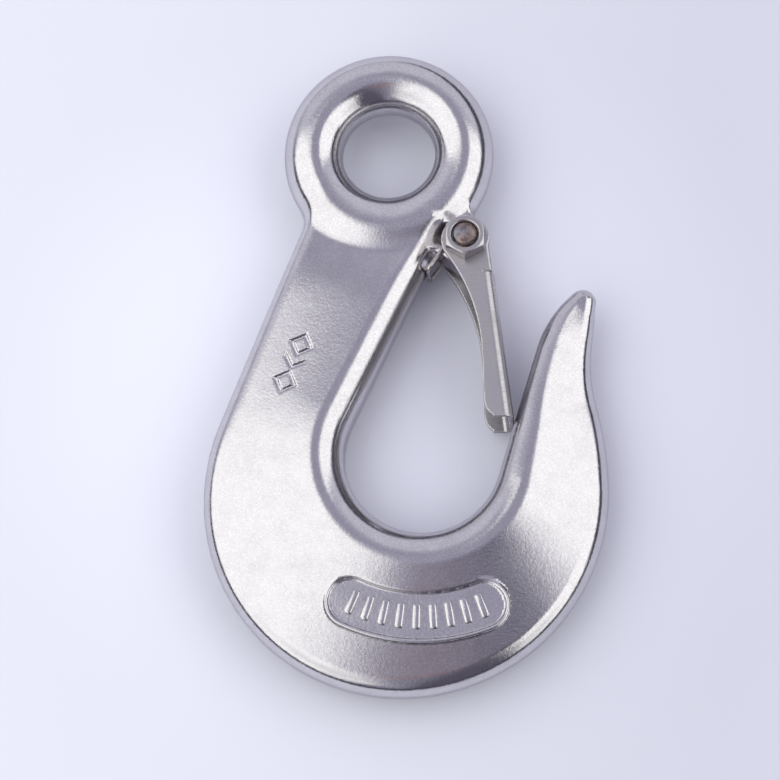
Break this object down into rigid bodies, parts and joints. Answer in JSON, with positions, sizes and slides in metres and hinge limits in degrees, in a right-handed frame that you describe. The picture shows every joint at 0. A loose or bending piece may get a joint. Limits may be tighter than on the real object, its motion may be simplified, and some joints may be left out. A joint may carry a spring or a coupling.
{
  "type": "eye slip hook with latch",
  "caption": "Cast stainless lifting hook with an eye, a deep bowl and a sprung sheet-metal safety latch that closes its throat.",
  "frame": {"origin": "centre of the eye's bore on the middle plane of the hook", "axes": "+X from the shank to the point, +Y from the bowl to the eye, +Z along the eye's bore, towards the latch's nut"},
  "size_m": [0.0844, 0.1395, 0.0239],
  "materials": {
    "casting": "tumbled and polished casting, satin",
    "latch_sheet": "brushed across its length",
    "spring_wire": "drawn bright wire",
    "bolt_steel": "turned, dull",
    "nut_steel": "machined, satin"
  },
  "bodies": {
    "hook": {"hook_body": "casting", "latch_spring": "spring_wire", "latch_bolt": "bolt_steel", "lock_nut": "nut_steel"},
    "latch": {"latch": "latch_sheet"}
  },
  "joints": [
    {"name": "latch_hinge", "type": "hinge", "parent": "hook", "child": "latch", "pos_m": [0.0164, -0.0213, 0], "axis": [0, 0, -1], "range_deg": [0, 44], "stiffness_Nm_per_rad": 0.05, "springref_deg": -34.38, "deforming": ["latch_spring"]}
  ]
}
